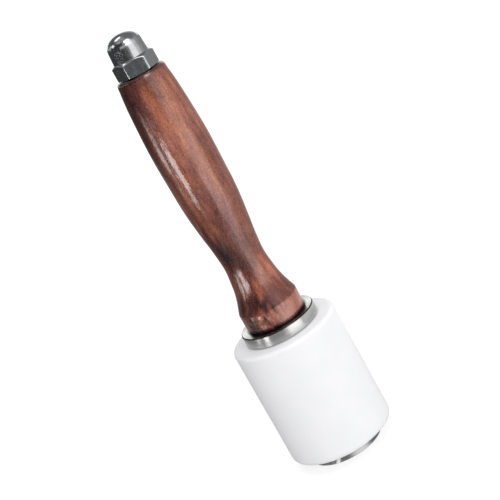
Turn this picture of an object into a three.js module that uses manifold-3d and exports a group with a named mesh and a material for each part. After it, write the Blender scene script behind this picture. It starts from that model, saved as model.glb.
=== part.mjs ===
// Leatherworker's mallet with a nylon head, clamped on one long rod under a cap nut.
// It stands on its base plate: millimetres, +Z up the handle, origin under the centre of the plate.

import * as THREE from "three";
import { mergeVertices } from "three/addons/utils/BufferGeometryUtils.js";
import Module from "manifold-3d";

// Tie rod, and the room around it in tapped and in plain holes
const rodDiameter = 10;
const rodEndChamfer = 1;
const rodFootRecess = 0.3;
const rodReachIntoNut = 11;
const threadClearance = 0.3;
const plainHoleClearance = 0.35;

// Steel base plate and collar plate
const plateDiameter = 35.2;
const plateChamfer = 0.4;
const basePlateThickness = 5;
const collarThickness = 5.6;

// Nylon head
const headDiameter = 49.5;
const headLength = 58.3;
const headTopFillet = 1.8;
const headBottomFillet = 2.5;

// Turned handle, heights up from its lower end
const handleLength = 123.4;
const bandDiameter = 28;
const bandHeight = 8.9;
const bandFillet = 0.8;
const waistHeight = 29.5;
const waistDiameter = 19.5;
const bellyHeight = 88.4;
const bellyDiameter = 26.9;
const handleEndDiameter = 22.2;
const handleEndFillet = 1.2;

// Cap nut
const nutAcrossFlats = 17;
const nutFaceDiameter = 16.1;
const nutHexHeight = 7.4;
const nutTopChamferAngle = THREE.MathUtils.degToRad(35);
const nutBottomChamferAngle = THREE.MathUtils.degToRad(20);
const nutSkirtHeight = 4.7;
const nutCrownHeight = 6;
const nutCrownDiameter = 15.5;
const nutCrownPower = 2.2;
const nutBoreDepth = 12.5;
const nutBoreMouthChamfer = 0.8;
const drillPointAngle = THREE.MathUtils.degToRad(118);
const cutOverrun = 2;

// The handle's outline between its named diameters: [share of the way up, share of the change in radius]
const flareShares = [[0.26, 0.38], [0.6, 0.77]];
const gripRiseShares = [[0.15, 0.14], [0.34, 0.52], [0.54, 0.84], [0.75, 0.95]];
const gripEndShares = [[0.42, 0.24], [0.76, 0.57]];

// Fineness of the surfaces, as counts
const plateSides = 72;
const handleSides = 60;
const rodSides = 32;
const nutSides = 48;
const hexSides = 6;
const filletSteps = 5;
const stepsPerMark = 3;
const crownSteps = 8;

// Seats of the stacked pieces, each on the one below
const headSeat = basePlateThickness;
const collarSeat = headSeat + headLength;
const handleSeat = collarSeat + collarThickness;
const nutSeat = handleSeat + handleLength;

const rodRadius = rodDiameter / 2;
const tappedRadius = rodRadius + threadClearance;
const plainHoleRadius = rodRadius + plainHoleClearance;

const steel = new THREE.MeshStandardMaterial({ color: 0xb9babb, roughness: 0.28, metalness: 1 });
const chrome = new THREE.MeshStandardMaterial({ color: 0x8f9294, roughness: 0.12, metalness: 1 });
const rodSteel = new THREE.MeshStandardMaterial({ color: 0x9a9c9e, roughness: 0.4, metalness: 1 });
const nylon = new THREE.MeshStandardMaterial({ color: 0xf1f1f3, roughness: 0.45, metalness: 0 });
const stainedWood = new THREE.MeshStandardMaterial({ color: 0x74392c, roughness: 0.32, metalness: 0 });

const point = (radius, height) => new THREE.Vector2(radius, height);

// A quarter round about a centre, from one angle to another, as profile points
function arc(centreRadius, centreHeight, radius, from, to) {
  return Array.from({ length: filletSteps + 1 }, (_, i) => {
    const angle = from + ((to - from) * i) / filletSteps;
    return point(centreRadius + radius * Math.cos(angle), centreHeight + radius * Math.sin(angle));
  });
}

// A solid of revolution about Z, from a profile that runs up the outside
function turned(profile, sides) {
  return new THREE.LatheGeometry(profile, sides).rotateX(Math.PI / 2);
}

// A turned ring: the outer profile, then back down the bore
function turnedRing(outer, boreRadius, length, sides) {
  return turned([point(boreRadius, 0), ...outer, point(boreRadius, length), point(boreRadius, 0)], sides);
}

function place(name, geometry, material, height) {
  const mesh = new THREE.Mesh(geometry, material);
  mesh.name = name;
  mesh.position.z = height;
  return mesh;
}

// Round steel plate with both rims chamfered
function plate(thickness, boreRadius) {
  const radius = plateDiameter / 2;
  const outer = [
    point(radius - plateChamfer, 0),
    point(radius, plateChamfer),
    point(radius, thickness - plateChamfer),
    point(radius - plateChamfer, thickness),
  ];
  return turnedRing(outer, boreRadius, thickness, plateSides);
}

// Nylon cylinder with rounded ends
function head() {
  const radius = headDiameter / 2;
  const low = headBottomFillet;
  const high = headTopFillet;
  const outer = [
    ...arc(radius - low, low, low, -Math.PI / 2, 0),
    ...arc(radius - high, headLength - high, high, 0, Math.PI / 2),
  ];
  return turnedRing(outer, plainHoleRadius, headLength, plateSides);
}

// Marks of the handle's outline between two named places
function between(from, to, shares) {
  return shares.map(([along, change]) => point(
    THREE.MathUtils.lerp(from.x, to.x, change),
    THREE.MathUtils.lerp(from.y, to.y, along),
  ));
}

// One smooth curve through marks of an outline
function smooth(marks) {
  const corners = marks.map(({ x, y }) => new THREE.Vector3(x, y, 0));
  const curve = new THREE.CatmullRomCurve3(corners, false, "centripetal");
  return curve.getPoints(stepsPerMark * (marks.length - 1)).map(({ x, y }) => point(x, y));
}

// Turned handle: a short band, a flare down to it, a waist, a full belly and a rounded end
function handle() {
  const bandRadius = bandDiameter / 2;
  const crease = point(bandRadius, bandHeight);
  const waist = point(waistDiameter / 2, waistHeight);
  const belly = point(bellyDiameter / 2, bellyHeight);
  const end = point(handleEndDiameter / 2, handleLength - handleEndFillet);
  const outer = [
    ...arc(bandRadius - bandFillet, bandFillet, bandFillet, -Math.PI / 2, 0),
    ...smooth([
      crease,
      ...between(crease, waist, flareShares),
      waist,
      ...between(waist, belly, gripRiseShares),
      belly,
      ...between(belly, end, gripEndShares),
      end,
    ]),
    ...arc(end.x - handleEndFillet, end.y, handleEndFillet, 0, Math.PI / 2).slice(1),
  ];
  return turnedRing(outer, plainHoleRadius, handleLength, handleSides);
}

// Rod through the whole stack, from just inside the base plate to well inside the cap nut
function tieRod() {
  const length = nutSeat + rodReachIntoNut - rodFootRecess;
  const profile = [
    point(0, 0),
    point(rodRadius - rodEndChamfer, 0),
    point(rodRadius, rodEndChamfer),
    point(rodRadius, length - rodEndChamfer),
    point(rodRadius - rodEndChamfer, length),
    point(0, length),
  ];
  return turned(profile, rodSides);
}

// Boolean cuts and joins for the nut
const wasm = await Module();
wasm.setup();

function toSolid(geometry) {
  const bare = geometry.clone();
  bare.deleteAttribute("normal");
  bare.deleteAttribute("uv");
  const merged = mergeVertices(bare);
  const corners = merged.index.array;
  const triangles = [];
  for (let i = 0; i < corners.length; i += 3) {
    const [a, b, c] = corners.slice(i, i + 3);
    if (a !== b && b !== c && c !== a) triangles.push(a, b, c);
  }
  const mesh = new wasm.Mesh({
    numProp: 3,
    vertProperties: Float32Array.from(merged.attributes.position.array),
    triVerts: Uint32Array.from(triangles),
  });
  return new wasm.Manifold(mesh);
}

function toGeometry(solid) {
  const { vertProperties, triVerts } = solid.getMesh();
  const geometry = new THREE.BufferGeometry();
  geometry.setAttribute("position", new THREE.BufferAttribute(vertProperties, 3));
  geometry.setIndex(new THREE.BufferAttribute(triVerts, 1));
  geometry.computeVertexNormals();
  return geometry;
}

// Hexagonal prism with a flat towards -Y, rounded off by a cone at each end
function nutHexagon() {
  const cornerRadius = nutAcrossFlats / 2 / Math.cos(Math.PI / hexSides);
  const faceRadius = nutFaceDiameter / 2;
  const reach = cornerRadius + cutOverrun;
  const lowRise = (reach - faceRadius) * Math.tan(nutBottomChamferAngle);
  const highRise = (reach - faceRadius) * Math.tan(nutTopChamferAngle);
  const prism = new THREE.CylinderGeometry(
    cornerRadius, cornerRadius, nutHexHeight, hexSides, 1, false, Math.PI / hexSides,
  );
  prism.rotateX(Math.PI / 2).translate(0, 0, nutHexHeight / 2);
  const cones = turned([
    point(0, 0),
    point(faceRadius, 0),
    point(reach, lowRise),
    point(reach, nutHexHeight - highRise),
    point(faceRadius, nutHexHeight),
    point(0, nutHexHeight),
  ], nutSides);
  return toSolid(prism).intersect(toSolid(cones));
}

// Dome of the nut: a slightly tapered skirt under a full crown
function nutDome() {
  const crownRadius = nutCrownDiameter / 2;
  const crownFoot = nutHexHeight + nutSkirtHeight;
  const crown = Array.from({ length: crownSteps + 1 }, (_, i) => {
    const angle = (i / crownSteps) * (Math.PI / 2);
    const out = i === crownSteps ? 0 : Math.cos(angle) ** (2 / nutCrownPower);
    const up = Math.sin(angle) ** (2 / nutCrownPower);
    return point(crownRadius * out, crownFoot + nutCrownHeight * up);
  });
  const rootHeight = nutHexHeight / 2;
  return toSolid(turned([
    point(0, rootHeight),
    point(nutFaceDiameter / 2, rootHeight),
    point(nutFaceDiameter / 2, nutHexHeight),
    ...crown,
  ], nutSides));
}

// Blind tapped hole with a countersunk mouth and a drill point
function nutBore() {
  const mouth = tappedRadius + nutBoreMouthChamfer;
  const drillPoint = tappedRadius / Math.tan(drillPointAngle / 2);
  return toSolid(turned([
    point(0, -cutOverrun),
    point(mouth + cutOverrun, -cutOverrun),
    point(tappedRadius, nutBoreMouthChamfer),
    point(tappedRadius, nutBoreDepth),
    point(0, nutBoreDepth + drillPoint),
  ], rodSides));
}

function capNut() {
  return toGeometry(nutHexagon().add(nutDome()).subtract(nutBore()));
}

const mallet = new THREE.Group();
mallet.add(
  place("base_plate", plate(basePlateThickness, tappedRadius), steel, 0),
  place("nylon_head", head(), nylon, headSeat),
  place("collar_plate", plate(collarThickness, plainHoleRadius), steel, collarSeat),
  place("handle", handle(), stainedWood, handleSeat),
  place("cap_nut", capNut(), chrome, nutSeat),
  place("tie_rod", tieRod(), rodSteel, rodFootRecess),
);

export default mallet;
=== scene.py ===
# Looks of a leatherworker's mallet: stained handle, nylon head, two steel plates and a chrome cap nut.
# Metres, in the frame of the CAD model: +Z up the handle, the camera on the -Y side.

import math
from types import SimpleNamespace

import bpy
import numpy as np
from mathutils import Matrix, Vector

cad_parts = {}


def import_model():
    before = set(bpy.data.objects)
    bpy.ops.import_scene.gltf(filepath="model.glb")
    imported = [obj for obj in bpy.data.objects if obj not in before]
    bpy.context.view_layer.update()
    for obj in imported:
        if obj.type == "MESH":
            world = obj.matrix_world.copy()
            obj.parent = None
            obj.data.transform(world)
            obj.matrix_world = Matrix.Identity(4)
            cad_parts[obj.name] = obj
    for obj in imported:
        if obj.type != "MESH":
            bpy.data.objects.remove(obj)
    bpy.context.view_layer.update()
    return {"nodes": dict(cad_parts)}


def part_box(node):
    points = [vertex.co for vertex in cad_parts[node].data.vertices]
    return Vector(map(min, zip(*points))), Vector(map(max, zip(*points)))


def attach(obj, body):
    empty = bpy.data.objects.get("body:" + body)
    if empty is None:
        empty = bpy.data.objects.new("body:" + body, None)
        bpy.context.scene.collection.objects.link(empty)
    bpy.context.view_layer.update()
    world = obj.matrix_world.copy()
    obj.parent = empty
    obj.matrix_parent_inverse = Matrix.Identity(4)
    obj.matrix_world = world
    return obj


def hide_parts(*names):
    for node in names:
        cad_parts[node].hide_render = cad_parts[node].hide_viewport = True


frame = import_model()

MM = 0.001

# Camera, fitted to the photograph's edges
CAMERA_PLACE = (0.0, -0.594, 0.2733)
CAMERA_YAW = math.radians(0.406)
CAMERA_PITCH = math.radians(16.122)
CAMERA_ROLL = math.radians(-29.132)
CAMERA_NEAREST = 10 * MM
FOCAL_PIXELS = 1422.8
PHOTO_PIXELS = 500
SENSOR_WIDTH = 36.0

# Fineness of the surfaces, as counts
ROUND_SIDES = 192
ROD_SIDES = 96
CORNER_STEPS = 4
OUTLINE_ROWS = 150
CROWN_ROWS = 29
HEX_FLAT_POINTS = 15
HEX_CORNER_POINTS = 11
THREAD_ROWS_PER_TURN = 10

# Beside a rounding, a point this many cuts from the corner holds the surface flat
CORNER_HOLD = 1.5
EDGE_SOFTNESS = 0.1 * MM

# Rod and thread, as on the CAD model
ROD_RADIUS = 5.0 * MM
ROD_CREST_DROP = 0.02 * MM
ROD_CENTRE_MARK_RADIUS = 1.0 * MM
ROD_CENTRE_MARK_DEPTH = 0.8 * MM
THREAD_PITCH = 1.5 * MM
THREAD_DEPTH = 0.8 * MM
THREAD_FLANK_GAIN = 1.3
THREAD_ROOM = 0.12 * MM
PLAIN_HOLE_RADIUS = 5.35 * MM
MOUTH_CHAMFER = 0.8 * MM

# Plates
PLATE_CHAMFER = 0.4 * MM
PLATE_EDGE_SOFTNESS = 0.12 * MM

# Head
HEAD_TOP_FILLET = 1.8 * MM
HEAD_BOTTOM_FILLET = 2.5 * MM
HEAD_BORE_EDGE = 0.5 * MM

# Handle
BAND_HEIGHT = 8.9 * MM
BAND_FILLET = 0.8 * MM
CREASE_SOFTNESS = 0.12 * MM
HANDLE_END_FILLET = 1.2 * MM
HANDLE_END_ROUNDING = 1.9 * MM
HANDLE_BORE_EDGE = 0.3 * MM
HANDLE_LEVEL_MATCH = 0.01 * MM
LEVEL_DECIMALS = 6

# The wood's curve stops this many roundings below its end; radii over this many bores are outside
CURVE_STOP_SHARE = 1.6
OUTSIDE_SHARE = 1.5

# How much deeper than on the CAD model the flare's hollow is, how high over the crease and how wide
FLARE_HOLLOW = 0.30 * MM
FLARE_HOLLOW_HEIGHT = 7.7 * MM
FLARE_HOLLOW_REACH = 9.0 * MM

# The wobble that turning left: its depth, and waves as counts round, radians per metre up, and start
HANDLE_WOBBLE = 0.05 * MM
WOBBLE_WAVES = [(3, 90, 0), (2, -150, 1)]

# Cap nut
NUT_ACROSS_FLATS = 17.0 * MM
NUT_FACE_RADIUS = 8.05 * MM
NUT_HEX_HEIGHT = 7.4 * MM
NUT_TOP_CHAMFER = math.radians(35)
NUT_BOTTOM_CHAMFER = math.radians(20)
NUT_SKIRT_HEIGHT = 4.7 * MM
NUT_CROWN_RADIUS = 7.75 * MM
NUT_CROWN_POWER = 2.2
NUT_CROWN_ANGLES = (3, 87)
NUT_CORNER_RADIUS = 0.9 * MM
NUT_EDGE_SOFTNESS = 0.18 * MM
NUT_TOP_EDGE_SOFTNESS = 0.30 * MM
NUT_DOME_FOOT_SOFTNESS = 0.06 * MM
NUT_BORE_DEPTH = 12.5 * MM
NUT_DRILL_POINT_RISE = math.radians(31)

# Points of the nut's hexagon, in degrees from the middle of a flat: close together near a corner
HEX_CORNER = 30
HEX_CORNER_REACH = 1.3
HEX_FLAT_REACH = 28.4


def rounded(corners):
    """Profile points through (radius, height, cut) corners, each rounded over its cut."""
    points = []
    for i, (radius, height, cut) in enumerate(corners):
        here = np.array([radius, height])
        if not cut:
            points.append(here)
            continue
        before = np.array(corners[i - 1][:2]) - here
        after = np.array(corners[(i + 1) % len(corners)][:2]) - here
        before *= cut / np.linalg.norm(before)
        after *= cut / np.linalg.norm(after)
        points.append(here + CORNER_HOLD * before)
        for t in np.linspace(0, 1, CORNER_STEPS + 1):
            points.append(here + (1 - t) ** 2 * before + t ** 2 * after)
        points.append(here + CORNER_HOLD * after)
    return points


def round_angles(sides=ROUND_SIDES):
    return np.arange(sides) * math.tau / sides


def ring(angles, radius, height):
    """Points round the axis; radius and height are numbers or one value per angle."""
    ones = np.ones(len(angles))
    return np.stack([radius * np.cos(angles), radius * np.sin(angles), height * ones], axis=1)


def pole(height):
    """A ring of one point, on the axis."""
    return np.array([[0, 0, height]])


def mesh_object(name, points, faces, material):
    mesh = bpy.data.meshes.new(name)
    mesh.from_pydata(points, [], faces)
    mesh.materials.append(material)
    shape = bpy.data.objects.new(name, mesh)
    bpy.context.scene.collection.objects.link(shape)
    return shape


def skin(name, rings, ring_shaped, node, material):
    """A closed mesh through rings of points and poles, which stands for a CAD node."""
    starts = np.cumsum([0] + [len(points) for points in rings])
    pairs = list(zip(range(len(rings) - 1), range(1, len(rings))))
    if ring_shaped:
        pairs.append((len(rings) - 1, 0))
    faces = []
    for low, high in pairs:
        count = max(len(rings[low]), len(rings[high]))
        for i in range(count):
            j = (i + 1) % count
            if len(rings[low]) == 1:
                corners = [starts[low], starts[high] + j, starts[high] + i]
            elif len(rings[high]) == 1:
                corners = [starts[low] + i, starts[low] + j, starts[high]]
            else:
                corners = [starts[low] + i, starts[low] + j, starts[high] + j, starts[high] + i]
            faces.append([int(corner) for corner in corners])
    piece = mesh_object(name, np.concatenate(rings).tolist(), faces, material)
    piece.data.shade_smooth()
    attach(piece, "root")
    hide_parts(node)


def thread_radius(angles, height, crest):
    """Radius of a right-hand screw thread at each angle, at one height, with a flat crest and root."""
    phase = (height / THREAD_PITCH - angles / math.tau) % 1
    flank = THREAD_FLANK_GAIN * (2 * np.abs(phase - 0.5) - 0.5) + 0.5
    return crest - THREAD_DEPTH * np.clip(flank, 0, 1)


def thread_rings(angles, low, high, crest):
    """Rings of a thread between two heights, rising or falling."""
    rows = max(2, int(abs(high - low) / THREAD_PITCH * THREAD_ROWS_PER_TURN))
    return [ring(angles, thread_radius(angles, h, crest), h) for h in np.linspace(low, high, rows)]


def opaque(colour, shade=1.0):
    """A colour with its alpha, darkened to a share of itself."""
    return (*[shade * part for part in colour], 1)


class Nodes:
    """Shader nodes of one tree, joined as they are made."""

    def __init__(self, tree):
        self.tree = tree
        self.tree.nodes.clear()

    def join(self, value, socket):
        if isinstance(value, bpy.types.NodeSocket):
            self.tree.links.new(value, socket)
        else:
            socket.default_value = value

    def add(self, kind, inputs=None, **settings):
        node = self.tree.nodes.new("ShaderNode" + kind)
        for name, value in settings.items():
            setattr(node, name, value)
        for name, value in (inputs or {}).items():
            self.join(value, node.inputs[name])
        return node

    def math(self, operation, *values):
        node = self.add("Math", operation=operation)
        for i, value in enumerate(values):
            self.join(value, node.inputs[i])
        return node.outputs[0]

    def length(self, x, y):
        return self.math("SQRT", self.math("MULTIPLY_ADD", x, x, self.math("MULTIPLY", y, y)))

    def distance(self, value, place):
        return self.math("ABSOLUTE", self.math("SUBTRACT", value, place))

    def azimuth(self, x, y):
        """Degrees round the axis, to the right of the camera's side."""
        return self.math("DEGREES", self.math("ARCTAN2", x, self.math("MULTIPLY", y, -1.0)))

    def turn(self, azimuth, place):
        """Degrees from a place round the axis, the short way round."""
        return self.math("WRAP", self.math("SUBTRACT", azimuth, place), 180.0, -180.0)

    def oval(self, azimuth, height, around, up, half_width, half_height):
        """Share of a soft oval: 1 at its middle, fading over its half width and half height."""
        across = self.math("DIVIDE", self.turn(azimuth, around), half_width)
        along = self.math("DIVIDE", self.math("SUBTRACT", height, up), half_height)
        far = self.math("MULTIPLY_ADD", across, across, self.math("MULTIPLY", along, along))
        return self.math("EXPONENT", self.math("MULTIPLY", far, -1.0))

    def combine(self, x, y, z):
        return self.add("CombineXYZ", {"X": x, "Y": y, "Z": z}).outputs[0]

    def separate(self, vector):
        return self.add("SeparateXYZ", {"Vector": vector}).outputs

    def scaled(self, vector, factors):
        node = self.add("VectorMath", operation="MULTIPLY")
        self.join(vector, node.inputs[0])
        self.join(factors, node.inputs[1])
        return node.outputs[0]

    def noise(self, vector, scale, detail, roughness=0.5, distortion=0.0):
        sizes = {"Scale": scale, "Detail": detail, "Roughness": roughness, "Distortion": distortion}
        return self.add("TexNoise", {"Vector": vector, **sizes}).outputs[0]

    def drawn_noise(self, vector, squeeze, *sizes):
        """A noise drawn out along the axis, or pressed together where squeeze is over 1."""
        return self.noise(self.scaled(vector, (1.0, 1.0, squeeze)), *sizes)

    def between(self, value, low, high, to_low=0.0, to_high=1.0):
        """Smooth step from to_low at low to to_high at high."""
        ends = {"Value": value, "From Min": low, "From Max": high, "To Min": to_low, "To Max": to_high}
        return self.add("MapRange", ends, interpolation_type="SMOOTHSTEP").outputs[0]

    def mix(self, factor, first, second, blend="MIX"):
        node = self.add("Mix", data_type="RGBA", blend_type=blend)
        self.join(factor, node.inputs[0])
        self.join(first, node.inputs[6])
        self.join(second, node.inputs[7])
        return node.outputs[2]

    def ramp(self, value, stops):
        node = self.add("ValToRGB", {"Fac": value})
        elements = node.color_ramp.elements
        while len(elements) < len(stops):
            elements.new(0.5)
        for element, (place, colour) in zip(elements, stops):
            element.position = place
            element.color = opaque(colour)
        return node.outputs[0]

    def bump(self, height, distance, normal=None):
        node = self.add("Bump", {"Height": height, "Distance": distance, "Strength": 1.0})
        if normal:
            self.join(normal, node.inputs["Normal"])
        return node.outputs[0]

    def place(self):
        """Place on the object in millimetres, and its three parts."""
        texture = self.add("TexCoord").outputs["Object"]
        vector = self.scaled(texture, (1 / MM,) * 3)
        parts = self.separate(vector)
        return vector, parts[0], parts[1], parts[2]

    def show(self, shader):
        """The shader as the material's surface."""
        self.join(shader.outputs[0], self.add("OutputMaterial").inputs["Surface"])


def material_nodes(name):
    material = bpy.data.materials.new(name)
    material.use_nodes = True
    return material, Nodes(material.node_tree)


def finish_material(nodes, **inputs):
    """The surface shader, from sockets or constant values."""
    shader = nodes.add("BsdfPrincipled")
    for name, value in inputs.items():
        nodes.join(value, shader.inputs[name.replace("_", " ")])
    nodes.show(shader)


# Spans of a noise's value that steer a look from one end of its range to the other
WIDE_SPAN = (0.2, 0.8)
MIDDLE_SPAN = (0.25, 0.75)
NARROW_SPAN = (0.3, 0.7)

# Noises of the wood: squeeze along the axis, scale per mm, detail, roughness and distortion
WOOD_NOISES = {
    "sway": (0.22, 0.22, 3.0, 0.5, 0.0),
    "lift": (0.22, 0.35, 3.0, 0.6, 0.0),
    "warmth": (0.22, 0.30, 2.0, 0.5, 0.0),
    "fibre": (0.07, 1.9, 4.0, 0.65, 0.4),
    "streak": (0.14, 0.55, 3.0, 0.6, 0.6),
    "blotch": (0.5, 0.22, 3.0, 0.6, 0.3),
    "speck": (0.6, 2.6, 2.0, 0.6, 0.0),
    "grain": (0.55, 1.25, 2.0, 0.6, 0.0),
    "pore": (0.16, 4.2, 1.0, 0.5, 0.0),
    "flow": (0.30, 0.36, 2.0, 0.5, 0.0),
    "pool": (1.3, 0.42, 2.0, 0.6, 0.5),
}

# How far patches of the stain are warped, in degrees and in mm
PATCH_SWAY = 9.0
PATCH_LIFT = 4.0

# What the noises add to the tone of the stain: noise, span, and most that it lightens or darkens
FIGURE = [
    ("blotch", WIDE_SPAN, 0.09),
    ("streak", WIDE_SPAN, 0.09),
    ("fibre", WIDE_SPAN, 0.08),
    ("speck", MIDDLE_SPAN, 0.15),
]

# The stain's colours, from tone 0 to tone 1
STAIN_TONES = [
    (0.00, (0.020, 0.007, 0.008)),
    (0.25, (0.071, 0.022, 0.018)),
    (0.50, (0.167, 0.054, 0.037)),
    (0.75, (0.324, 0.114, 0.074)),
    (1.00, (0.510, 0.204, 0.135)),
]
STAIN_BASE_TONE = 0.56
WARMTH_SPAN = (0.35, 0.75)
WARMTH_RANGE = (0.1, 0.7)
WARM_TINT = (1.12, 1.0, 0.70)
COOL_TINT = (0.94, 1.0, 1.20)

# The band is lighter than the flare, and more so round this azimuth on its lit side, which is painted
# light; its edge fades over these mm above the crease
BAND_TONE = 0.26
BAND_EDGE = (0.4, -0.5)
BAND_PAINTED_LIGHT_AZIMUTH = 32.0
BAND_PAINTED_LIGHT_SPAN = (-0.2, 0.9)
BAND_PAINTED_LIGHT_RANGE = (0.2, 1.0)

# The dark ends, with painted shade at the foot where it meets the collar and at the end's rim under the
# cap nut: mm above the foot, or below the upper end, where the change starts and is full
FOOT_SHADE_TONE = -0.55
FOOT_SHADE_FADE = (2.2, 0.7)
END_TONE = -0.225
END_FADE = (2.2, 0.5)
NUT_SHADE_TONE = -0.315
NUT_SHADE_FADE = (0.35, 0.05)

# The stretch of the upper edge with a painted highlight, lighter and cooler, standing in for the glint
# on its rounding: its middle, and how far off it fades
PAINTED_GLINT_AZIMUTH = 11.0
PAINTED_GLINT_DEPTH = 1.0
PAINTED_GLINT_SIDES = (14.0, 3.0)
PAINTED_GLINT_EDGES = (0.75, 0.2)
PAINTED_GLINT_TONE = 0.42
PAINTED_GLINT_WARMTH = -0.6

# The front of the flare with a calmer figure and a thinner lacquer, the thinner lacquer a painted shade
# that dims its sheen:
# its middle, how far off it fades, in degrees and in mm above the crease, and what it keeps of its
# figure and its lacquer
DULL_FRONT_AZIMUTH = 18.0
DULL_FRONT_SIDES = (46.0, 24.0)
DULL_FRONT_TOP = (12.0, 7.0)
DULL_FRONT_FOOT = (-0.5, 0.5)
DULL_FRONT_KEEPS = 0.45

PORE_SPAN = (0.62, 0.74)
PORE_TONE = -0.12
WOOD_ROUGHNESS = (0.42, 0.56)

# Lacquer: how deep its unevenness goes, and where its grain and its pools fade, in mm above the crease
FLOW_DEPTH = 0.18 * MM
POOL_DEPTH = 0.20 * MM
SUNK_DEPTH = 0.06 * MM
SUNK_COAT_DEPTH = 0.010 * MM
GRAIN_DEPTH = 0.050 * MM
GRAIN_FADE = (0.0, 22.0)
GRAIN_RANGE = (0.3, 1.0)
POOL_FADE = (0.3, -0.9)
POOL_AZIMUTH = -28.0
POOL_SIDES = (44.0, 20.0)
POOL_RANGE = (0.25, 1.0)

# Beads of lacquer: degrees round, height in mm, half width in degrees, half height and thickness in mm
LACQUER_BEADS = [
    (-26, 75.2, 10.0, 1.8, 0.31),
    (-44, 75.4, 8.0, 1.7, 0.26),
    (-30, 70.6, 7.0, 1.9, 0.37),
    (-35, 72.9, 4.0, 1.3, 0.20),
    (-13, 74.6, 5.0, 1.8, 0.32),
    (-4, 72.8, 4.0, 1.6, 0.27),
    (-36, 83.6, 11.0, 3.6, -0.20),
    (-17, 92.0, 6.0, 4.0, 0.07),
    (-36.5, 88.0, 4.5, 8.0, 0.05),
    (-19, 181.0, 5.0, 2.2, 0.16),
]

# Patches of the stain, a few of them painted glints and painted sheen: degrees round from the camera's
# side, height in mm, half width and half height, change in tone (from 0 dark to 1 light) and change in
# warmth (from 0 purple-brown to 1 orange)
STAIN_PATCHES = [
    # Upper end
    (-30, 192, 45, 9, -0.24, 0.0),
    (-44, 189, 9, 4, 0.12, 0.0),
    (22, 189, 22, 4, -0.12, 0.0),
    (36, 188, 8, 4, 0.10, 0.0),
    (-16, 188, 10, 4, 0.18, 0.2),
    (6, 188, 8, 3, 0.10, 0.2),
    (-52, 184, 16, 12, -0.22, 0.0),
    (-34, 182, 18, 12, -0.16, 0.0),
    (18, 181, 8, 5, -0.14, 0.0),
    (50, 180, 14, 5, 0.10, 0.0),
    (20, 180, 6, 5, -0.08, 0.0),
    (46, 179, 22, 9, 0.10, 0.3),
    # Belly
    (-78, 175, 24, 30, -0.30, 0.0),
    (-33, 173, 8, 5, -0.12, 0.0),
    (34, 172, 12, 5, 0.21, 0.0),
    (4, 172, 4, 5, 0.10, 0.0),
    (-10, 166, 14, 24, 0.20, 0.45),
    (4, 165, 6, 6, 0.22, 0.0),
    (60, 165, 8, 6, 0.14, -0.1),
    (-24, 164, 6, 6, 0.10, 0.0),
    (-17, 162, 7, 8, 0.06, -0.6),
    (62, 160, 8, 14, 0.12, 0.0),
    (20, 160, 16, 34, 0.22, 0.15),
    (48, 160, 12, 24, -0.03, 0.0),
    (-4, 157, 6, 5, 0.08, -0.4),
    (-14, 150.5, 2.4, 0.8, -0.40, 0.0),
    (-64, 150, 14, 30, -0.16, 0.3),
    (-18, 148.5, 2.2, 0.9, -0.40, 0.0),
    (-20, 141, 12, 7, 0.04, 0.5),
    (-42, 137, 9, 7, 0.15, 0.5),
    (-1, 136, 8, 20, -0.08, -0.4),
    (-72, 132, 12, 14, 0.28, -0.2),
    (-40, 130, 5, 6, 0.08, 0.2),
    (31, 127, 6, 8, 0.10, 0.0),
    # Waist
    (-50, 124, 8, 8, -0.16, 0.0),
    (-20, 119, 30, 13, -0.08, 0.0),
    (-32, 117, 10, 6, 0.16, 0.3),
    (10, 115, 16, 22, 0.03, -0.35),
    (-15, 113, 8, 7, 0.06, 0.3),
    (-50, 112, 14, 14, -0.18, 0.0),
    (34, 107, 30, 5, -0.12, 0.0),
    (-36, 107, 28, 8.5, -0.44, -0.1),
    (20, 101, 8, 5, -0.12, -0.1),
    (43, 101, 6, 4, 0.10, 0.1),
    (-44, 100, 12, 4, -0.12, 0.0),
    (-12, 100, 10, 5, -0.18, 0.0),
    # Flare; the lighter patch at -42 degrees and 80 mm is a painted glint
    (48, 95, 22, 7, 0.25, 0.35),
    (-4, 94, 6, 3, -0.14, 0.0),
    (20, 92, 10, 4, 0.12, 0.2),
    (48, 90, 5, 3.5, 0.06, 0.2),
    (-1, 88.5, 8, 4, 0.22, 0.9),
    (55, 86, 7, 4, 0.08, 0.3),
    (-13, 85, 8, 4, -0.20, 0.1),
    (48, 83, 7, 3, 0.22, 0.2),
    (10, 82, 14, 5, 0.02, -0.3),
    (-35, 81.5, 22, 4.5, -0.16, 0.0),
    (0, 81.5, 190, 5, -0.22, -0.1),
    (-58, 81, 8, 3, -0.14, 0.0),
    (-8, 81, 10, 3, -0.14, 0.0),
    (-4, 80.5, 6, 3, -0.15, 0.0),
    (26, 80, 8, 5, 0.08, 0.0),
    (-42, 80, 8, 3, 0.15, -0.2),
    (32, 80, 12, 4, 0.08, 0.0),
    # Band; the lighter patches at -14, 26 and 28 degrees are a painted glint and painted sheen
    (-14, 74.5, 8, 2, 0.14, -0.1),
    (26, 73.5, 13, 4, 0.20, -0.2),
    (-42, 73, 5, 4, -0.22, 0.0),
    (54, 73, 8, 4, -0.12, 0.0),
    (-50, 72.8, 13, 3.4, -0.44, 0.0),
    (28, 72.5, 8, 4, 0.12, -0.1),
    (62, 72, 8, 3, -0.08, 0.0),
    (-20, 71.8, 8, 1.6, -0.30, 0.0),
    (16, 71.2, 14, 1.6, 0.12, -0.4),
    (-14, 71, 14, 2.2, -0.20, 0.0),
    # Far side
    (120, 130, 26, 30, 0.14, 0.3),
    (180, 165, 22, 26, -0.14, 0.0),
    (-140, 120, 24, 34, 0.10, 0.4),
    (150, 94, 20, 10, -0.14, 0.2),
]


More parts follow.
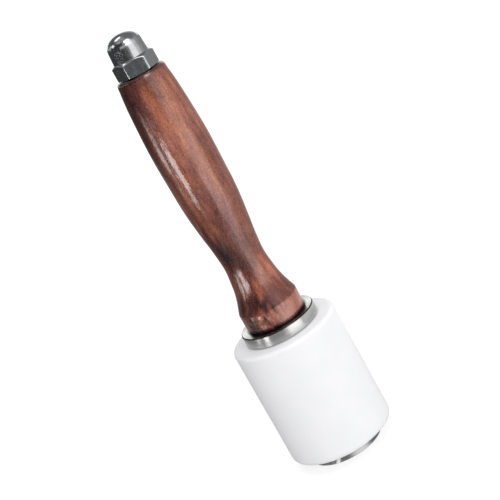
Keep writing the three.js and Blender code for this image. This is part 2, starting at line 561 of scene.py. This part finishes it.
def wood_places(nodes):
    """Where a point of the wood lies, in mm and degrees, and the noises there."""
    vector, x, y, z = nodes.place()
    low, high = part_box("handle")
    noise = {name: nodes.drawn_noise(vector, *sizes) for name, sizes in WOOD_NOISES.items()}
    azimuth = nodes.azimuth(x, y)
    over_foot = nodes.math("SUBTRACT", z, low.z / MM)
    sway = nodes.between(noise["sway"], *WIDE_SPAN, -PATCH_SWAY, PATCH_SWAY)
    lift = nodes.between(noise["lift"], *WIDE_SPAN, -PATCH_LIFT, PATCH_LIFT)
    return SimpleNamespace(
        noise=noise,
        height=z,
        azimuth=azimuth,
        over_foot=over_foot,
        over_crease=nodes.math("SUBTRACT", over_foot, BAND_HEIGHT / MM),
        under_end=nodes.math("SUBTRACT", high.z / MM, z),
        warped_azimuth=nodes.math("ADD", azimuth, sway),
        warped_height=nodes.math("ADD", z, lift),
    )


def dull_front_share(nodes, at):
    """Where the front of the flare has a calmer figure and a thinner lacquer, which dims its sheen as
    painted shade.
    """
    sides = nodes.between(nodes.distance(at.azimuth, DULL_FRONT_AZIMUTH), *DULL_FRONT_SIDES)
    top = nodes.between(at.over_crease, *DULL_FRONT_TOP)
    foot = nodes.between(at.over_crease, *DULL_FRONT_FOOT)
    return nodes.math("MULTIPLY", nodes.math("MULTIPLY", sides, top), foot)


def stain_colour(nodes, at, kept, pore):
    """Colour of the stain, from its tone and its warmth."""
    figure = 0.0
    for name, span, reach in FIGURE:
        figure = nodes.math("ADD", figure, nodes.between(at.noise[name], *span, -reach, reach))
    tone = nodes.math("MULTIPLY_ADD", figure, kept, STAIN_BASE_TONE)
    warmth = nodes.between(at.noise["warmth"], *WARMTH_SPAN, *WARMTH_RANGE)
    for *oval, lighter, warmer in STAIN_PATCHES:
        share = nodes.oval(at.warped_azimuth, at.warped_height, *oval)
        tone = nodes.math("MULTIPLY_ADD", share, lighter, tone)
        warmth = nodes.math("MULTIPLY_ADD", share, warmer, warmth)

    # The band is lighter than the flare above it, most of all on its lit right side, which is painted
    # light; both ends are dark, with painted shade at the foot against the collar and at the rim under
    # the cap nut
    from_light = nodes.math("RADIANS", nodes.math("SUBTRACT", at.azimuth, BAND_PAINTED_LIGHT_AZIMUTH))
    painted_light_side = nodes.between(nodes.math("COSINE", from_light), *BAND_PAINTED_LIGHT_SPAN, *BAND_PAINTED_LIGHT_RANGE)
    band = nodes.math("MULTIPLY", nodes.between(at.over_crease, *BAND_EDGE), painted_light_side)
    tone = nodes.math("MULTIPLY_ADD", band, BAND_TONE, tone)
    tone = nodes.math("ADD", tone, nodes.between(at.over_foot, *FOOT_SHADE_FADE, 0.0, FOOT_SHADE_TONE))
    tone = nodes.math("ADD", tone, nodes.between(at.under_end, *END_FADE, 0.0, END_TONE))
    tone = nodes.math("ADD", tone, nodes.between(at.under_end, *NUT_SHADE_FADE, 0.0, NUT_SHADE_TONE))

    # A painted highlight, lighter and cooler, on one stretch of the upper edge's rounding, standing in
    # for its glint
    along_edge = nodes.between(nodes.distance(at.azimuth, PAINTED_GLINT_AZIMUTH), *PAINTED_GLINT_SIDES)
    across_edge = nodes.between(nodes.distance(at.under_end, PAINTED_GLINT_DEPTH), *PAINTED_GLINT_EDGES)
    painted_glint = nodes.math("MULTIPLY", along_edge, across_edge)
    tone = nodes.math("MULTIPLY_ADD", painted_glint, PAINTED_GLINT_TONE, tone)
    warmth = nodes.math("MULTIPLY_ADD", painted_glint, PAINTED_GLINT_WARMTH, warmth)

    tone = nodes.math("MULTIPLY_ADD", pore, PORE_TONE, tone)
    colour = nodes.ramp(tone, STAIN_TONES)
    warm = nodes.mix(1.0, colour, opaque(WARM_TINT), "MULTIPLY")
    cool = nodes.mix(1.0, colour, opaque(COOL_TINT), "MULTIPLY")
    return nodes.mix(warmth, cool, warm)


def lacquer_normal(nodes, at):
    """Normal of lacquer that flowed, pooled on the band and ran into beads."""
    pool = nodes.math("MULTIPLY", at.noise["pool"], nodes.between(at.over_crease, *POOL_FADE))
    from_pool = nodes.distance(at.azimuth, POOL_AZIMUTH)
    pool = nodes.math("MULTIPLY", pool, nodes.between(from_pool, *POOL_SIDES, *POOL_RANGE))
    beads = 0.0
    for *oval, thickness in LACQUER_BEADS:
        share = nodes.oval(at.warped_azimuth, at.height, *oval)
        beads = nodes.math("MULTIPLY_ADD", share, thickness, beads)
    normal = nodes.bump(at.noise["flow"], FLOW_DEPTH)
    normal = nodes.bump(pool, POOL_DEPTH, normal)
    return nodes.bump(beads, MM, normal)


def stained_wood():
    material, nodes = material_nodes("stained_wood")
    at = wood_places(nodes)
    kept = nodes.between(dull_front_share(nodes, at), 0.0, 1.0, 1.0, DULL_FRONT_KEEPS)

    # Open pores are short dark strokes along the grain, and the lacquer sank into them and the fibres
    pore = nodes.between(at.noise["pore"], *PORE_SPAN)
    fibre = nodes.math("MULTIPLY", at.noise["fibre"], 0.5)
    sunk = nodes.math("ADD", fibre, nodes.math("MULTIPLY", pore, -0.5))
    grain_share = nodes.between(at.over_crease, *GRAIN_FADE, *GRAIN_RANGE)
    grain = nodes.math("MULTIPLY", at.noise["grain"], grain_share)
    lacquer = lacquer_normal(nodes, at)
    finish_material(
        nodes,
        Base_Color=stain_colour(nodes, at, kept, pore),
        Roughness=nodes.between(at.noise["speck"], *NARROW_SPAN, *WOOD_ROUGHNESS),
        Normal=nodes.bump(sunk, SUNK_DEPTH, lacquer),
        Specular_IOR_Level=0.0,
        Coat_Weight=kept,
        Coat_Roughness=0.12,
        Coat_IOR=1.5,
        Coat_Normal=nodes.bump(grain, GRAIN_DEPTH, nodes.bump(sunk, SUNK_COAT_DEPTH, lacquer)),
    )
    return material


# Steels: colour, roughness, and lines of the turning per mm
PLATE_STEEL = ((0.54, 0.54, 0.53), 0.24, 5.0)
ROD_STEEL = ((0.50, 0.50, 0.51), 0.36, 3.0)

# How the colour and the roughness of a steel vary, with noises as detail and roughness
STEEL_LINE_NOISE = (3.0, 0.7)
STEEL_LINE_DEPTH = 0.006 * MM
STEEL_LINE_SHADE = 0.80
STEEL_ROUGHNESS_CHANGES = (-0.04, 0.05)
STEEL_CLOUD_SCALE = 0.18
STEEL_CLOUD_NOISE = (3.0, 0.6)
STEEL_CLOUD_SHADE = 0.86

# Rise of the normal, 0 on a wall and 1 on a level face: where a chamfer or a face starts and is full
CHAMFER_RISING = (0.2, 0.5)
CHAMFER_LEVELLING = (0.98, 0.9)
FACE_LEVEL = (0.8, 0.95)

# Painted dark reflection on the chamfers, and painted shade with a dark reflection on the top face in
# front of the wood: radius of its edge in mm at the sides and in front, the y of both
PAINTED_DARK_COLOUR = (0.035, 0.035, 0.038)
PAINTED_SHADE_REACH = (15.2, 17.35)
PAINTED_SHADE_FRONT = (-4.0, -13.0)
PAINTED_SHADE_FADE = 1.2
PAINTED_SHADE_SHARE = 0.92


def turned_steel(name, colour, roughness, lines_per_mm):
    """Steel faced and turned on a lathe: fine rings on its faces and round its wall."""
    material, nodes = material_nodes(name)
    smooth, rough = [roughness + change for change in STEEL_ROUGHNESS_CHANGES]
    vector, x, y, z = nodes.place()
    out = nodes.length(x, y)
    lines = nodes.noise(nodes.combine(out, 0.0, z), lines_per_mm, *STEEL_LINE_NOISE)
    lined = nodes.between(lines, *NARROW_SPAN)
    cloud = nodes.between(nodes.noise(vector, STEEL_CLOUD_SCALE, *STEEL_CLOUD_NOISE), *NARROW_SPAN)
    tint = nodes.mix(cloud, opaque(colour), opaque(colour, STEEL_CLOUD_SHADE))
    tint = nodes.mix(lined, tint, opaque(colour, STEEL_LINE_SHADE))

    # The chamfer that faces up is painted dark as a painted dark reflection, and painted shade with the
    # wood's dark reflection lies on the top face against the wood, wider in front
    facing = nodes.separate(nodes.add("TexCoord").outputs["Normal"])[2]
    levelling = nodes.between(facing, *CHAMFER_LEVELLING)
    chamfer = nodes.math("MULTIPLY", nodes.between(facing, *CHAMFER_RISING), levelling)
    reach = nodes.between(y, *PAINTED_SHADE_FRONT, *PAINTED_SHADE_REACH)
    in_shade = nodes.between(nodes.math("SUBTRACT", out, reach), 0.0, -PAINTED_SHADE_FADE)
    painted_shade = nodes.math("MULTIPLY", in_shade, nodes.between(facing, *FACE_LEVEL))
    dark = nodes.math("MAXIMUM", chamfer, nodes.math("MULTIPLY", painted_shade, PAINTED_SHADE_SHARE))
    finish_material(
        nodes,
        Base_Color=nodes.mix(dark, tint, opaque(PAINTED_DARK_COLOUR)),
        Metallic=1.0,
        Roughness=nodes.between(lines, *NARROW_SPAN, smooth, rough),
        Anisotropic=0.85,
        Anisotropic_Rotation=0.25,
        Tangent=nodes.add("Tangent", direction_type="RADIAL", axis="Z").outputs[0],
        Normal=nodes.bump(lines, STEEL_LINE_DEPTH),
    )
    return material


# Chrome: its two shades, its roughness, and its noises as scale per mm, detail, roughness, distortion
CHROME_DARK = (0.345, 0.355, 0.365)
CHROME_LIGHT = (0.395, 0.40, 0.405)
CHROME_ROUGHNESS = (0.10, 0.19)
CHROME_CLOUD_NOISE = (0.5, 4.0, 0.65)
CHROME_WAVE_NOISE = (0.45, 1.0)
CHROME_WAVE_DEPTH = 0.03 * MM
CHROME_MARK_SQUEEZE = 0.5
CHROME_MARK_NOISE = (6.0, 2.0, 0.6, 0.8)
CHROME_MARK_DEPTH = 0.002 * MM


def dark_chrome():
    material, nodes = material_nodes("dark_chrome")
    vector = nodes.place()[0]
    cloud = nodes.noise(vector, *CHROME_CLOUD_NOISE)
    marks = nodes.drawn_noise(vector, CHROME_MARK_SQUEEZE, *CHROME_MARK_NOISE)
    wave = nodes.bump(nodes.noise(vector, *CHROME_WAVE_NOISE), CHROME_WAVE_DEPTH)
    shade = nodes.between(cloud, *NARROW_SPAN)
    finish_material(
        nodes,
        Base_Color=nodes.mix(shade, opaque(CHROME_DARK), opaque(CHROME_LIGHT)),
        Metallic=1.0,
        Roughness=nodes.between(cloud, *MIDDLE_SPAN, *CHROME_ROUGHNESS),
        Normal=nodes.bump(marks, CHROME_MARK_DEPTH, wave),
    )
    return material


# Nylon: its two shades, its roughness, and its noises as scale per mm, detail and roughness
NYLON_LIGHT = (0.87, 0.87, 0.886)
NYLON_DARK = (0.85, 0.853, 0.872)
NYLON_ROUGHNESS = (0.40, 0.50)
NYLON_CLOUD_NOISE = (0.09, 3.0, 0.55)
NYLON_LINE_NOISE = (2.6, 2.0, 0.6)
NYLON_LINE_DEPTH = 0.006 * MM
NYLON_DENT_NOISE = (0.7, 3.0, 0.6)
NYLON_DENT_DEPTH = 0.012 * MM


def machined_nylon():
    material, nodes = material_nodes("machined_nylon")
    vector, x, y, z = nodes.place()
    lines = nodes.noise(nodes.combine(nodes.length(x, y), 0.0, z), *NYLON_LINE_NOISE)
    cloud = nodes.noise(vector, *NYLON_CLOUD_NOISE)
    dents = nodes.bump(nodes.noise(vector, *NYLON_DENT_NOISE), NYLON_DENT_DEPTH)
    shade = nodes.between(cloud, *NARROW_SPAN)
    finish_material(
        nodes,
        Base_Color=nodes.mix(shade, opaque(NYLON_LIGHT), opaque(NYLON_DARK)),
        Roughness=nodes.between(cloud, *NARROW_SPAN, *NYLON_ROUGHNESS),
        Specular_IOR_Level=0.35,
        Subsurface_Weight=0.12,
        Subsurface_Radius=(1.0, 1.0, 1.0),
        Subsurface_Scale=1.5 * MM,
        Normal=nodes.bump(lines, NYLON_LINE_DEPTH, dents),
    )
    return material


def plate(name, tapped, material):
    """Turned plate with chamfered rims, and a plain or a tapped hole."""
    low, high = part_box(name)
    radius = high.x
    soft = PLATE_EDGE_SOFTNESS
    hole = ROD_RADIUS + THREAD_ROOM if tapped else PLAIN_HOLE_RADIUS
    mouth = MOUTH_CHAMFER if tapped else PLATE_CHAMFER
    profile = rounded([
        (hole + mouth, low.z, soft),
        (radius - PLATE_CHAMFER, low.z, soft),
        (radius, low.z + PLATE_CHAMFER, soft),
        (radius, high.z - PLATE_CHAMFER, soft),
        (radius - PLATE_CHAMFER, high.z, soft),
        (hole + mouth, high.z, soft),
        (hole, high.z - mouth, 0),
        (hole, low.z + mouth, 0),
    ])
    angles = round_angles()
    rings = [ring(angles, *point) for point in profile]
    if tapped:
        rings[-2:] = thread_rings(angles, high.z - mouth, low.z + mouth, hole)
    skin(name + "_turned", rings, True, name, material)


def nylon_head(material):
    name = "nylon_head"
    low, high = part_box(name)
    radius = high.x
    bore = PLAIN_HOLE_RADIUS
    profile = rounded([
        (bore + HEAD_BORE_EDGE, low.z, EDGE_SOFTNESS),
        (radius, low.z, HEAD_BOTTOM_FILLET),
        (radius, high.z, HEAD_TOP_FILLET),
        (bore + HEAD_BORE_EDGE, high.z, EDGE_SOFTNESS),
        (bore, high.z - HEAD_BORE_EDGE, EDGE_SOFTNESS),
        (bore, low.z + HEAD_BORE_EDGE, EDGE_SOFTNESS),
    ])
    rings = [ring(round_angles(), *point) for point in profile]
    skin("nylon_head_turned", rings, True, name, material)


def cad_outline(name):
    """Radius and height of the outer points of a round CAD node, from its foot up."""
    places = np.array([vertex.co for vertex in frame["nodes"][name].data.vertices])
    heights = np.round(places[:, 2], LEVEL_DECIMALS)
    radii = np.hypot(places[:, 0], places[:, 1])
    levels = np.unique(heights)
    return np.array([radii[heights == level].max() for level in levels]), levels


def smooth_through(places, values, at):
    """Cubic curve through points, with its slopes taken from the neighbours."""
    slopes = np.gradient(values, places)
    i = np.clip(np.searchsorted(places, at) - 1, 0, len(places) - 2)
    width = places[i + 1] - places[i]
    t = (at - places[i]) / width
    from_low = (1 + 2 * t) * (1 - t) ** 2 * values[i] + t * (1 - t) ** 2 * width * slopes[i]
    from_high = t ** 2 * (3 - 2 * t) * values[i + 1] + t ** 2 * (t - 1) * width * slopes[i + 1]
    return from_low + from_high


def handle_profile(low, high, crease, top):
    """Outline and bore of the wood; between crease and top it follows the CAD model's curve."""
    radii, levels = cad_outline("handle")
    near = HANDLE_LEVEL_MATCH
    curved = (levels > crease - near) & (levels < top + near)
    rows = np.linspace(crease, top, OUTLINE_ROWS)
    outline = smooth_through(levels[curved], radii[curved], rows)
    band = radii[curved][0]
    end = radii[curved][-1]
    kept = rows < high - CURVE_STOP_SHARE * HANDLE_END_ROUNDING
    rows = rows[kept]
    outline = outline[kept]
    bore = PLAIN_HOLE_RADIUS
    edge = HANDLE_BORE_EDGE

    # The softened crease takes the place of the curve's first rows
    first = 2
    foot_corners = rounded([
        (bore, low, 0),
        (band, low, BAND_FILLET),
        (band, crease, CREASE_SOFTNESS),
        (outline[first], rows[first], 0),
    ])
    end_corners = rounded([
        (outline[-1], rows[-1], 0),
        (end, high, HANDLE_END_ROUNDING),
        (bore + edge, high, EDGE_SOFTNESS),
        (bore, high - edge, 0),
        (bore, low + edge, 0),
        (bore + edge, low, 0),
    ])
    curve = zip(outline[first + 1:-1], rows[first + 1:-1])
    return foot_corners[1:] + list(curve) + end_corners


def handle(material):
    name = "handle"
    low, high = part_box(name)
    crease = low.z + BAND_HEIGHT
    top = high.z - HANDLE_END_FILLET
    angles = round_angles()
    rings = []
    for radius, height in handle_profile(low.z, high.z, crease, top):
        outside = radius > OUTSIDE_SHARE * PLAIN_HOLE_RADIUS
        lean = 0
        above = abs(height - crease - FLARE_HOLLOW_HEIGHT) / FLARE_HOLLOW_REACH
        if outside and above < 1:
            radius -= FLARE_HOLLOW * math.cos(above * math.pi / 2) ** 2
        if outside and crease < height < top:
            share = math.sin(math.pi * (height - crease) / (top - crease))
            waves = [np.sin(n * angles + rise * height + start) for n, rise, start in WOBBLE_WAVES]
            lean = HANDLE_WOBBLE * share * (sum(waves) / len(waves) - 1)
        rings.append(ring(angles, radius + lean, height))
    skin("handle_turned", rings, True, name, material)


def hexagon_angles():
    """Angles round a hexagon and from the middle of each flat, with a flat centred on -Y."""
    flat = np.linspace(-HEX_FLAT_REACH, HEX_FLAT_REACH, HEX_FLAT_POINTS)
    corner = np.linspace(HEX_CORNER - HEX_CORNER_REACH, HEX_CORNER + HEX_CORNER_REACH, HEX_CORNER_POINTS)
    sixth = np.concatenate([flat, corner])
    degrees = np.concatenate([sixth + 2 * HEX_CORNER * k - 90 for k in range(6)])
    return np.radians(degrees), np.radians(np.tile(sixth, 6))


def hexagon_radius(from_flat):
    """Radius of a hexagon with rounded corners, at angles from the middle of a flat."""
    half = NUT_ACROSS_FLATS / 2
    soft = NUT_CORNER_RADIUS
    corner = math.radians(HEX_CORNER)
    off = np.abs(from_flat)
    off = np.minimum(off, 2 * corner - off)
    flat = half / np.cos(off)
    centre = (half - soft) / math.cos(corner)
    lean = corner - off
    reach = np.sqrt(np.maximum(soft ** 2 - (centre * np.sin(lean)) ** 2, 0))
    round_part = centre * np.cos(lean) + reach
    turn = half * np.tan(off) > (half - soft) * math.tan(corner)
    return np.where(turn, round_part, flat)


def nut_column(radius, low, hex_top, crown_foot):
    """The nut's outline at an angle where its hexagon has this radius, up to the foot of the crown."""
    low_edge = low + (radius - NUT_FACE_RADIUS) * math.tan(NUT_BOTTOM_CHAMFER)
    high_edge = hex_top - (radius - NUT_FACE_RADIUS) * math.tan(NUT_TOP_CHAMFER)
    return rounded([
        (ROD_RADIUS + THREAD_ROOM + MOUTH_CHAMFER, low, 0),
        (NUT_FACE_RADIUS, low, NUT_EDGE_SOFTNESS),
        (radius, low_edge, NUT_EDGE_SOFTNESS),
        (radius, high_edge, NUT_TOP_EDGE_SOFTNESS),
        (NUT_FACE_RADIUS, hex_top, NUT_DOME_FOOT_SOFTNESS),
        (NUT_CROWN_RADIUS, crown_foot, 0),
    ])


def cap_nut(material):
    """Domed cap nut, from the top of its blind tapped hole out and up to its crown."""
    name = "cap_nut"
    low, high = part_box(name)
    angles, from_flat = hexagon_angles()
    hex_top = low.z + NUT_HEX_HEIGHT
    crown_foot = hex_top + NUT_SKIRT_HEIGHT
    crown_height = high.z - crown_foot
    thread = ROD_RADIUS + THREAD_ROOM
    bore_top = low.z + NUT_BORE_DEPTH
    rings = [pole(bore_top + thread * math.tan(NUT_DRILL_POINT_RISE)), ring(angles, thread, bore_top)]
    rings += thread_rings(angles, low.z + MOUTH_CHAMFER, bore_top - THREAD_PITCH, thread)[::-1]
    columns = [nut_column(radius, low.z, hex_top, crown_foot) for radius in hexagon_radius(from_flat)]
    columns = np.array(columns)
    rings += [ring(angles, columns[:, i, 0], columns[:, i, 1]) for i in range(columns.shape[1])]
    for angle in np.radians(np.linspace(*NUT_CROWN_ANGLES, CROWN_ROWS)):
        out = math.cos(angle) ** (2 / NUT_CROWN_POWER)
        up = math.sin(angle) ** (2 / NUT_CROWN_POWER)
        rings.append(ring(angles, NUT_CROWN_RADIUS * out, crown_foot + crown_height * up))
    rings.append(pole(high.z))
    skin("cap_nut_polished", rings, False, name, material)


def tie_rod(material):
    """Rod with a thread in the base plate and one in the nut, and a centre mark in its foot."""
    name = "tie_rod"
    low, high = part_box(name)
    angles = round_angles(ROD_SIDES)
    radius = ROD_RADIUS
    chamfer = THREAD_DEPTH + EDGE_SOFTNESS
    crest = radius - ROD_CREST_DROP
    foot_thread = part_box("base_plate")[1].z
    top_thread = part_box("cap_nut")[0].z - 2 * THREAD_PITCH
    rings = [
        pole(low.z + ROD_CENTRE_MARK_DEPTH),
        ring(angles, ROD_CENTRE_MARK_RADIUS, low.z),
        ring(angles, radius - chamfer, low.z),
        *thread_rings(angles, low.z + chamfer, foot_thread, crest),
        ring(angles, radius, foot_thread + THREAD_PITCH),
        ring(angles, radius, top_thread - THREAD_PITCH),
        *thread_rings(angles, top_thread, high.z - chamfer, crest),
        ring(angles, radius - chamfer, high.z),
        pole(high.z),
    ]
    skin("tie_rod_threaded", rings, False, name, material)


def camera():
    yaw, pitch, roll = CAMERA_YAW, CAMERA_PITCH, CAMERA_ROLL
    ahead = Vector((math.sin(yaw) * math.cos(pitch), math.cos(yaw) * math.cos(pitch), -math.sin(pitch)))
    level = Vector((math.cos(yaw), -math.sin(yaw), 0))
    above = level.cross(ahead)
    side = level * math.cos(roll) + above * math.sin(roll)
    top = above * math.cos(roll) - level * math.sin(roll)
    data = bpy.data.cameras.new("camera")
    data.sensor_width = SENSOR_WIDTH
    data.lens = FOCAL_PIXELS / PHOTO_PIXELS * SENSOR_WIDTH
    data.clip_start = CAMERA_NEAREST
    seen = bpy.data.objects.new("camera", data)
    turn = Matrix((side, top, -ahead)).transposed()
    seen.matrix_world = Matrix.Translation(Vector(CAMERA_PLACE)) @ turn.to_4x4()
    bpy.context.scene.collection.objects.link(seen)
    bpy.context.scene.camera = seen


def white_to_view(nodes):
    """1 for rays of the camera and for reflected and refracted ones, else 0."""
    path = nodes.add("LightPath").outputs
    mirrored = nodes.math("MAXIMUM", path["Is Glossy Ray"], path["Is Transmission Ray"])
    return nodes.math("MAXIMUM", path["Is Camera Ray"], mirrored)


# Light that the white world gives, where it isn't seen or mirrored
FILL_LEVEL = 0.482


def world():
    surroundings = bpy.data.worlds.new("studio")
    bpy.context.scene.world = surroundings
    surroundings.use_nodes = True
    nodes = Nodes(surroundings.node_tree)
    strength = nodes.between(white_to_view(nodes), 0.0, 1.0, FILL_LEVEL, 1.0)
    background = nodes.add("Background", {"Color": (1, 1, 1, 1), "Strength": strength})
    nodes.join(background.outputs[0], nodes.add("OutputWorld").inputs["Surface"])


# Floor: its size, its grey for light and for the eye, and its glow near the mallet and away from it
FLOOR_REACH = 6.0
FLOOR_COLOUR = 0.82
FLOOR_SHADOW_SHARE = 0.28
FLOOR_GLOW_PLACES = (0.05, 0.6)
FLOOR_GLOW = (0.80, 1.0)


def floor():
    """Pale table that reads white and keeps a soft shadow."""
    material, nodes = material_nodes("floor")
    viewed = white_to_view(nodes)
    away = nodes.add("VectorMath", {0: nodes.add("TexCoord").outputs["Object"]}, operation="LENGTH")
    glow_level = nodes.between(away.outputs["Value"], *FLOOR_GLOW_PLACES, *FLOOR_GLOW)
    grey = nodes.between(viewed, 0.0, 1.0, FLOOR_COLOUR, FLOOR_SHADOW_SHARE)
    diffuse = nodes.add("BsdfDiffuse", {"Color": nodes.combine(grey, grey, grey)})
    glow = nodes.add("Emission", {"Strength": nodes.math("MULTIPLY", viewed, glow_level)})
    nodes.show(nodes.add("AddShader", {0: diffuse.outputs[0], 1: glow.outputs[0]}))
    signs = [(-1, -1), (1, -1), (1, 1), (-1, 1)]
    corners = [(FLOOR_REACH * x, FLOOR_REACH * y, 0) for x, y in signs]
    mesh_object("floor", corners, [(0, 1, 2, 3)], material)


# Tent: a flat ring on the floor and a dome, and the height that its elevations are seen from
TENT_RADIUS = 0.9
TENT_CENTRE_HEIGHT = 0.15
TENT_LIFT = 0.0001
TENT_FLOOR_INNER = 0.0177
TENT_TOP_ANGLE = 88
TENT_ROWS = 23
TENT_SIDES = 96
TENT_LEVEL = 0.42

# Areas of the tent, each over the ones before: azimuth to the right of the camera, elevation,
# half width and half height in degrees, softness of its edge, and level
TENT_AREAS = [
    (-88, 24, 74, 36, 5, 0.09),
    (-105, -22, 45, 10, 3, 0.14),
    (180, 32, 75, 20, 5, 0.20),
    (0, 0, 15, 10, 5, 0.18),
    (-14, 20, 20, 10, 5, 0.80),
    (110, 58, 50, 24, 6, 0.32),
    (84, -6, 26, 42, 7, 0.62),
    (133, -6, 25, 42, 7, 0.46),
    (112, -41, 46, 9, 5, 1.25),
    (34, -30, 22, 62, 6, 1.90),
    (36, -17, 24, 13, 5, 2.70),
    (37, 3, 20, 9, 5, 1.90),
    (10, 3, 7, 8, 3, 0.42),
    (35, 36, 23, 24, 12, 2.40),
    (34, 54, 26, 8, 6, 3.60),
    (28, 52, 18, 6, 4, 9.00),
    (20, 25, 12, 5, 3, 4.50),
    (66, 14, 12, 16, 6, 1.25),
    (8, -38, 8, 6, 4, 1.60),
    (165, -6, 12, 42, 5, 0.70),
    (169, -28, 8, 20, 4, 1.60),
    (0, 86, 180, 9, 4, 0.55),
    (-70, -12, 24, 7, 5, 0.60),
    (-56, -19, 5.0, 4, 3, 5.0),
    (-56, -11.5, 8.0, 5, 2.5, 10.5),
    (-85, -9, 5.5, 4.5, 2.5, 7.0),
    (-85, -4, 5.5, 1.5, 1.5, 2.5),
    (-54, -44, 4, 7, 2, 3.2),
    (-81, -44, 4, 7, 2, 2.4),
    (-120, 30, 8, 10, 4, 1.10),
    (-158, 65, 22, 6, 4, 4.50),
    (-98, 44, 12, 7, 4, 2.60),
    (-50, 68, 22, 6, 4, 0.90),
    (180, 14, 40, 3, 2, 2.20),
    (0, -84, 180, 8, 3, 0.28),
    (-27, -82, 3, 9, 1.5, 1.90),
    (15, -82, 17, 9, 9, 1.30),
]


def tent_material():
    """Glow of the tent, area by area."""
    material, nodes = material_nodes("tent")
    material.cycles.emission_sampling = "NONE"
    x, y, z = nodes.separate(nodes.add("TexCoord").outputs["Object"])
    azimuth = nodes.azimuth(x, y)
    up = nodes.math("SUBTRACT", z, TENT_CENTRE_HEIGHT)
    elevation = nodes.math("DEGREES", nodes.math("ARCTAN2", up, nodes.length(x, y)))
    level = TENT_LEVEL
    for around, rise, half_width, half_height, soft, area_level in TENT_AREAS:
        across = nodes.math("ABSOLUTE", nodes.turn(azimuth, around))
        across = nodes.between(across, half_width + soft, half_width - soft)
        along = nodes.between(nodes.distance(elevation, rise), half_height + soft, half_height - soft)
        share = nodes.math("MULTIPLY", across, along)
        level = nodes.math("MULTIPLY_ADD", share, nodes.math("SUBTRACT", area_level, level), level)
    nodes.show(nodes.add("Emission", {"Strength": level}))
    return material


def tent():
    """Grey cards all round the mallet, as one sheet that is seen only in reflections."""
    profile = [(TENT_FLOOR_INNER, TENT_LIFT), (TENT_RADIUS, TENT_LIFT)]
    for angle in np.radians(np.linspace(0, TENT_TOP_ANGLE, TENT_ROWS)):
        profile.append((TENT_RADIUS * math.cos(angle), TENT_LIFT + TENT_RADIUS * math.sin(angle)))
    angles = round_angles(TENT_SIDES)
    points = np.concatenate([ring(angles, *point) for point in profile])
    faces = []
    for low in range(0, TENT_SIDES * (len(profile) - 1), TENT_SIDES):
        high = low + TENT_SIDES
        for i in range(TENT_SIDES):
            j = (i + 1) % TENT_SIDES
            faces.append((low + j, low + i, high + i, high + j))
    sheet = mesh_object("tent", points.tolist(), faces, tent_material())
    sheet.visible_camera = False
    sheet.visible_diffuse = False
    sheet.visible_transmission = False
    sheet.visible_volume_scatter = False
    sheet.visible_shadow = False


# Soft boxes: name, azimuth to the right of the camera's side and elevation in degrees, distance from
# the middle of the mallet, width and height in metres, and radiance
SOFTBOXES = [
    ("front_softbox", 4, 13, 0.62, 0.50, 0.62, 1.98),
    ("right_softbox", 112, 8, 0.70, 0.50, 0.50, 2.5),
    ("overhead_softbox", 10, 84, 0.75, 0.45, 0.45, 4.4),
]
LIT_CENTRE = Vector((0.0, 0.0, 0.12))


def softbox(name, azimuth, elevation, distance, width, height, radiance):
    """A rectangular lamp that faces the mallet; a card of the tent is its mirror image."""
    turn = math.radians(azimuth)
    rise = math.radians(elevation)
    flat = math.cos(rise)
    away = distance * Vector((math.sin(turn) * flat, -math.cos(turn) * flat, math.sin(rise)))
    data = bpy.data.lights.new(name, "AREA")
    data.shape = "RECTANGLE"
    data.size = width
    data.size_y = height
    data.energy = math.pi * width * height * radiance
    lamp = bpy.data.objects.new(name, data)
    lamp.location = LIT_CENTRE + away
    lamp.rotation_euler = (-away).to_track_quat("-Z", "Y").to_euler()
    lamp.visible_glossy = False
    bpy.context.scene.collection.objects.link(lamp)


bpy.context.scene.view_settings.view_transform = "Standard"
camera()
world()
floor()
tent()
for values in SOFTBOXES:
    softbox(*values)

plate_steel = turned_steel("plate_steel", *PLATE_STEEL)
plate("base_plate", True, plate_steel)
nylon_head(machined_nylon())
plate("collar_plate", False, plate_steel)
handle(stained_wood())
cap_nut(dark_chrome())
tie_rod(turned_steel("rod_steel", *ROD_STEEL))
